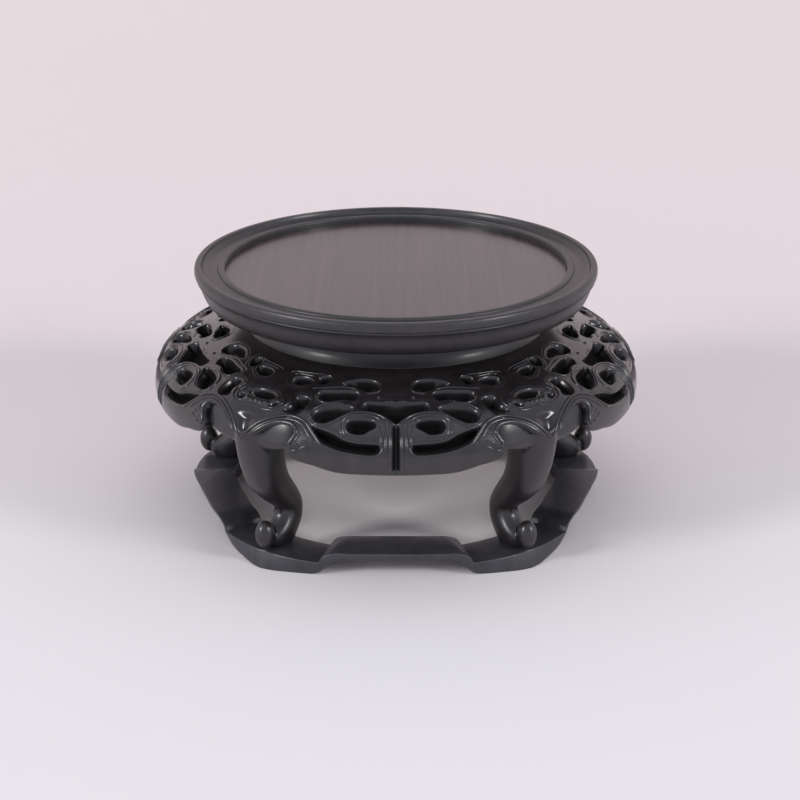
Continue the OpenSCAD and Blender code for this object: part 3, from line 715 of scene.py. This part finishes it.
def bead_mesh(wood, step=0.32, sides_round=10, fade=1.4, end_share=0.25, sunk=0.1, deepest=0.3, steady=4):
    """The beads of a whole panel, half sunk in its relief, with ends that fade into it.

    They follow the relief no deeper than deepest, evened out over steady neighbours on each side.
    """
    points, edges, radii = [], [], []
    for outline, radius in beads:
        line = smooth(outline, False, steps=12)
        lengths = np.hypot(np.diff(line[:, 0]) * np.radians(face(line[1:, 1])[0]), np.diff(line[:, 1]))
        run = np.concatenate(([0], np.cumsum(lengths)))
        stops = np.linspace(0, run[-1], round(run[-1] / step) + 1)
        a, s = np.interp(stops, run, line[:, 0]), np.interp(stops, run, line[:, 1])
        at_row = np.interp(s, rows, np.arange(len(rows)))
        at_column = np.interp(a, full_a[0], np.arange(full_a.shape[1]))
        depth = np.clip(sampled(full_relief, np.column_stack((at_row, at_column))), -deepest, 0)
        window = 2 * steady + 1
        depth = np.convolve(np.pad(depth, steady, "edge"), np.ones(window) / window, "valid")
        from_start = stops if outline[0][0] > 0 else fade
        from_end = run[-1] - stops if outline[-1][0] < half_turn else fade
        thick = radius * (end_share + (1 - end_share) * rise(0, fade, np.minimum(from_start, from_end)))
        for side in (-1, 1):
            start = len(points)
            points += (on_wall(side * a, s, depth - sunk) * MM).tolist()
            edges += [(i, i + 1) for i in range(start, len(points) - 1)]
            radii += (thick * MM).tolist()
    mesh = bpy.data.meshes.new("bead_lines")
    mesh.from_pydata(points, edges, [])
    mesh.attributes.new("bead_radius", "FLOAT", "POINT").data.foreach_set("value", radii)
    carrier = bpy.data.objects.new("bead_lines", mesh)
    bpy.context.collection.objects.link(carrier)
    modifier = carrier.modifiers.new("beads", "NODES")
    modifier.node_group = bead_tree()
    named = {s.name: s.identifier for s in modifier.node_group.interface.items_tree if s.in_out == "INPUT"}
    modifier[named["Sides"]] = sides_round
    modifier[named["Wood"]] = wood
    made = bpy.data.meshes.new_from_object(carrier.evaluated_get(bpy.context.evaluated_depsgraph_get()))
    bpy.data.objects.remove(carrier)
    return made


def carved_mesh(name, points, faces, crest, rim_distance, wood, sharp):
    """The first of five like pieces, from its points and what its wood needs to know of them."""
    mesh = bpy.data.meshes.new(name)
    mesh.from_pydata(points * MM, [], faces)
    for attribute, values in (("crest", crest), ("rim_distance", rim_distance)):
        given = mesh.attributes.new(attribute, "FLOAT", "POINT")
        given.data.foreach_set("value", np.broadcast_to(values, len(points)))
    mesh.materials.append(wood)
    finish_mesh(mesh, sharp)
    return mesh


figure_shift = np.array((0.3, 0.17, 0))


def five_round(name, first, node):
    """Five copies of a mesh, turned to their places, each with its own stretch of figure in the wood."""
    for number in range(1, sides + 1):
        mesh = first.copy()
        points = np.empty(3 * len(mesh.vertices))
        mesh.vertices.foreach_get("co", points)
        figure = mesh.attributes.new("figure", "FLOAT_VECTOR", "POINT")
        figure.data.foreach_set("vector", (points.reshape(-1, 3) + figure_shift * number).ravel())
        mesh.transform(Matrix.Rotation(math.radians(2 * half_turn * (number - 1)), 4, "Z"))
        piece = bpy.data.objects.new(f"{name}_{number}", mesh)
        bpy.context.collection.objects.link(piece)
        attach(piece, "root")
        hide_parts(f"{node}_{number}")


carved_wood = hardwood("carved_hardwood", wood_dark, wood_light, polish=0.13)
made_beads = bead_mesh(carved_wood)
wall_count = len(panel_points)
bead_points = np.array([v.co for v in made_beads.vertices]) / MM
panel_points = np.vstack((panel_points, bead_points))
panel_faces += [[wall_count + v for v in polygon.vertices] for polygon in made_beads.polygons]
panel_crest = np.concatenate((panel_crest, np.ones(len(bead_points))))
panel_rim = np.concatenate((panel_rim, np.full(len(bead_points), far_off)))
carved_sharp = 75
panel_mesh = carved_mesh("carved_apron", panel_points, panel_faces, panel_crest, panel_rim, carved_wood,
                         carved_sharp)
five_round("carved_apron", panel_mesh, "apron_panel")

# Legs: five S-shaped legs, shaped with rasp and scraper from one block each, with a ball carved at the
# end of the foot. Wide shoulders fill the arches of the apron from behind, and a tenon goes through the
# apron's seat into the waist.
ankle_z, knee_z = 14, 30
ankle_corners, knee_corners, shoulder_corners = 2.2, 2.7, 4.5
leg_step, shoulder_step = 0.4, 0.3
ball_half_w, ball_half_h = 2.9, 4.3
ball_place = (63.4, 0, 9.5)

# Height, back, front and half width of a leg and of its shoulders
leg_sections = [
    (4.6, 52.6, 61.2, 2.8), (6.0, 51.4, 62.3, 3.4), (7.8, 50.2, 62.8, 3.8), (9.0, 49.6, 62.2, 3.95),
    (10.2, 49.0, 60.9, 3.95), (11.5, 48.5, 59.4, 3.8), (12.8, 48.2, 58.1, 3.6), (14.2, 48.0, 57.4, 3.4),
    (15.8, 48.1, 57.9, 3.3), (17.6, 48.8, 59.9, 3.45), (19.6, 50.0, 62.4, 3.65), (21.8, 51.5, 64.6, 3.9),
    (24, 53.2, 66.5, 4.3), (26.5, 54.9, 68.1, 4.6), (29.5, 56.1, 69.3, 4.8), (33, 56.7, 70.5, 5.0),
    (38, 56.6, 71.7, 5.0), (43, 55.6, 72.4, 4.9), (46, 53.8, 72.4, 4.8), (49, 49.0, 72.4, 4.6),
    (52, 42, 72.4, 4.6), (53.6, 39.2, 72.4, 4.6),
]
shoulder_sections = [
    (34, 58, 62.8, 2.5), (35.5, 59, 64.8, 3.6), (37, 60, 66.8, 5.0), (38.5, 61, 68.6, 6.8),
    (39.5, 61, 69.4, 9), (40.3, 61, 69.9, 11.8), (41.2, 61, 70.1, 14.2), (42.4, 61, 70.1, 15.2),
    (44, 61, 69.7, 15.4), (46, 60.5, 69.1, 15.4), (48, 59.5, 68.3, 15), (49.5, 58, 67.6, 13),
]


def squared(value, sharpness):
    """Draws a circle's sine or cosine out to that of a square with rounded corners."""
    return np.sign(value) * np.abs(value) ** (2 / sharpness)


def stacked(sections, step, low_corners, high_corners, degrees_apart=6):
    """Rings through sections, whose corners go from one sharpness at the ankle to another at the knee."""
    height = np.arange(sections[0][0], sections[-1][0] + step / 2, step)
    lines = (smooth(np.array(sections)[:, (0, k)], False, steps=12) for k in (1, 2, 3))
    back, front, half_w = (np.interp(height, *line.T)[:, None] for line in lines)
    around = np.radians(np.arange(0, 360, degrees_apart))
    corners = (low_corners + (high_corners - low_corners) * rise(ankle_z, knee_z, height))[:, None]
    x = (back + front) / 2 + (front - back) / 2 * squared(np.cos(around), corners)
    return x, half_w * squared(np.sin(around), corners), np.repeat(height[:, None], len(around), 1)


# Just above the edge of the arches, the leg draws back behind the apron's wall
arch_middle_a, arch_cover = 26, 1.8
clearance, least_depth, slope_reach = 0.2, 0.5, 5
arch = edge_line[edge_line[:, 0] >= arch_middle_a][::-1]
arch_r, arch_z, _ = face(arch[:, 1])
arch_y = np.radians(half_turn - arch[:, 0]) * arch_r
inner_r = swell_r - wall - clearance


def behind_apron(x, y, z):
    """Points of rings, those above the arches no further out than the back of the apron's wall."""
    clear_r = swell[0] + np.sqrt(np.clip(inner_r**2 - (z - swell[1]) ** 2, 0, None))
    slope_r = np.minimum(seat_r + (seat_z - wall - z) * math.tan(slope_normal), swell[0] + slope_reach)
    clear_r = np.where(z > swell[1] + inner_r * math.sin(slope_normal), slope_r, clear_r)
    clear_x = np.sqrt(np.clip(clear_r**2 - y**2, 0, None))
    clear_x = np.maximum(clear_x, x.min(1, keepdims=True) + least_depth)
    covered = z > np.interp(np.abs(y), arch_y, arch_z) + arch_cover
    return np.stack((np.where(covered, np.minimum(x, clear_x), x), y, z), 2)


def tube_faces(rows_long, rows_round):
    """Faces of a closed tube whose points lie in rings."""
    number = np.arange(rows_long * rows_round).reshape(rows_long, rows_round)
    beside = np.roll(number, -1, 1)
    faces = np.stack((number[:-1], beside[:-1], beside[1:], number[1:]), 2).reshape(-1, 4).tolist()
    return faces + [number[0, ::-1].tolist(), number[-1].tolist()]


leg_rings = behind_apron(*stacked(leg_sections, leg_step, ankle_corners, knee_corners))
shoulder_rings = behind_apron(*stacked(shoulder_sections, shoulder_step, shoulder_corners, shoulder_corners))
rough_leg = bpy.data.meshes.new("rough_leg")
rough_leg.from_pydata(leg_rings.reshape(-1, 3), [], tube_faces(*leg_rings.shape[:2]))
rough_shoulder = bpy.data.meshes.new("rough_shoulder")
rough_shoulder.from_pydata(shoulder_rings.reshape(-1, 3), [], tube_faces(*shoulder_rings.shape[:2]))
work = bmesh.new()
work.from_mesh(rough_leg)
work.from_mesh(rough_shoulder)
ball = Matrix.Translation(ball_place) @ Matrix.Diagonal((ball_half_w, ball_half_w, ball_half_h, 1))
bmesh.ops.create_uvsphere(work, u_segments=48, v_segments=32, radius=1, matrix=ball)
work.to_mesh(rough_leg)
work.free()
blank = bpy.data.objects.new("leg_blank", rough_leg)
bpy.context.collection.objects.link(blank)
remesh = blank.modifiers.new("carve", "REMESH")
remesh.mode = "VOXEL"
remesh.voxel_size = 0.28
scrape = blank.modifiers.new("scrape", "SMOOTH")
scrape.factor = 0.5
scrape.iterations = 6
shaped_leg = bpy.data.meshes.new_from_object(blank.evaluated_get(bpy.context.evaluated_depsgraph_get()))
bpy.data.objects.remove(blank)
shaped_leg.transform(Matrix.Rotation(math.radians(half_turn - 90), 4, "Z"))
leg_points = np.array([v.co for v in shaped_leg.vertices])
leg_faces = [list(polygon.vertices) for polygon in shaped_leg.polygons]
leg_wood = hardwood("leg_hardwood", wood_dark, wood_light, polish=0.26)
leg_mesh = carved_mesh("carved_leg", leg_points, leg_faces, 1.0, far_off, leg_wood, carved_sharp)
five_round("carved_leg", leg_mesh, "leg")

# Floor ring: five rails of the same wood, mitred under the feet. Each has a flat pad at both ends and a
# raised middle, with a tight notch at the step between them. The outer faces flare under the feet, and the
# top edges are just broken.
rail_out, corner_out, ring_in = 61.2, 64.2, 51.2
inner_flat = 49.2
pad_h, rail_top, rail_t = 4.6, 8.1, 2.5
notch_y, crest_y = 21.8, 15.4
step_lean = 3.4
under_half, under_end = 15.6, 24.3
edge_round = 0.4
mitre_nick, nick_reach = 0.35, math.radians(2.5)
slant_at, slant_in = (0, 8, 14, 20), (-2.5, 0, 1.4, 1.2)
stops_along = 281
half = math.radians(half_turn)
corner_r = (rail_out / math.cos(half) - corner_out) / (1 / math.cos(half) - 1)
corner_mid = (rail_out - corner_r) / math.cos(half)
corner_start = math.atan2(corner_mid * math.sin(half), rail_out)


def ring_out(turn):
    """Radius of the ring's outer face, turned from the middle of a rail."""
    to_mitre = half - np.abs(turn)
    on_corner = corner_mid * np.cos(to_mitre) + np.sqrt(corner_r**2 - (corner_mid * np.sin(to_mitre)) ** 2)
    r = np.where(np.abs(turn) < corner_start, rail_out / np.cos(turn), on_corner)
    return r - mitre_nick * np.clip(1 - to_mitre / nick_reach, 0, 1)


def rail_levels(y):
    """Underside and top of a rail, where its outer face is y millimetres from the middle."""
    y = np.abs(y)
    up = np.sqrt(np.clip(1 - (np.clip(y - crest_y, 0, None) / (notch_y - crest_y)) ** 2, 0, 1))
    return (rail_top - rail_t) * (1 - rise(under_half, under_end, y)), pad_h + up * (rail_top - pad_h)


turns = np.linspace(-half, half, stops_along)
outer = np.stack((np.cos(turns), np.sin(turns)), 1) * ring_out(turns)[:, None]
mitre_y = ring_in * math.sin(half)
lean_to = np.interp(np.abs(outer[:, 1]), (0, notch_y, outer[-1, 1]), (0, notch_y - step_lean, mitre_y))
inner_y = np.sign(outer[:, 1]) * lean_to
inner = np.stack((np.minimum(np.sqrt(ring_in**2 - inner_y**2), inner_flat), inner_y), 1)
width = np.linalg.norm(outer - inner, axis=1)
rail_under, rail_over = rail_levels(outer[:, 1])
slant = np.interp(np.degrees(half - np.abs(turns)), slant_at, slant_in)
section = []
for in_from, level, start in ((0, "top", 0), (1, "top", 90), (1, "low", 180), (0, "low", 270)):
    for turn in np.radians(np.arange(start, start + 91, 30)):
        side_ways = edge_round * (1 + math.cos(turn)) if in_from else edge_round * (1 - math.cos(turn))
        inset = width - side_ways if in_from else side_ways + (slant if level == "low" else 0)
        spot = outer + (inner - outer) * (inset / width)[:, None]
        z = rail_over - edge_round if level == "top" else rail_under + edge_round
        section.append(np.column_stack((spot, z + edge_round * math.sin(turn))))
rail_points = np.stack(section, 1)
rail_faces = tube_faces(*rail_points.shape[:2])
to_front = np.array(((0, -1, 0), (1, 0, 0), (0, 0, 1)))
rail_points = rail_points.reshape(-1, 3) @ to_front
rail_dark = (0.019, 0.0182, 0.0226)
rail_light = (0.044, 0.0418, 0.0513)
rail_sharp = 50
rail_wood = hardwood("rail_hardwood", rail_dark, rail_light, polish=0.44)
rail_mesh = carved_mesh("shaped_rail", rail_points, rail_faces, 1.0, far_off, rail_wood, rail_sharp)
five_round("shaped_rail", rail_mesh, "base_rail")

# Hidden joinery: keys across the mitres of the apron and the floor ring, and a dowel under each foot,
# all of a plainer hardwood, glued in.
hidden_dark = (0.10, 0.06, 0.035)
hidden_light = (0.20, 0.12, 0.07)
hidden_wood = hardwood("hidden_hardwood", hidden_dark, hidden_light, polish=0.5, grain=(300, 300, 30))
for node in ("apron_keys", "foot_dowels", "rail_keys"):
    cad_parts[node].data.materials.clear()
    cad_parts[node].data.materials.append(hidden_wood)
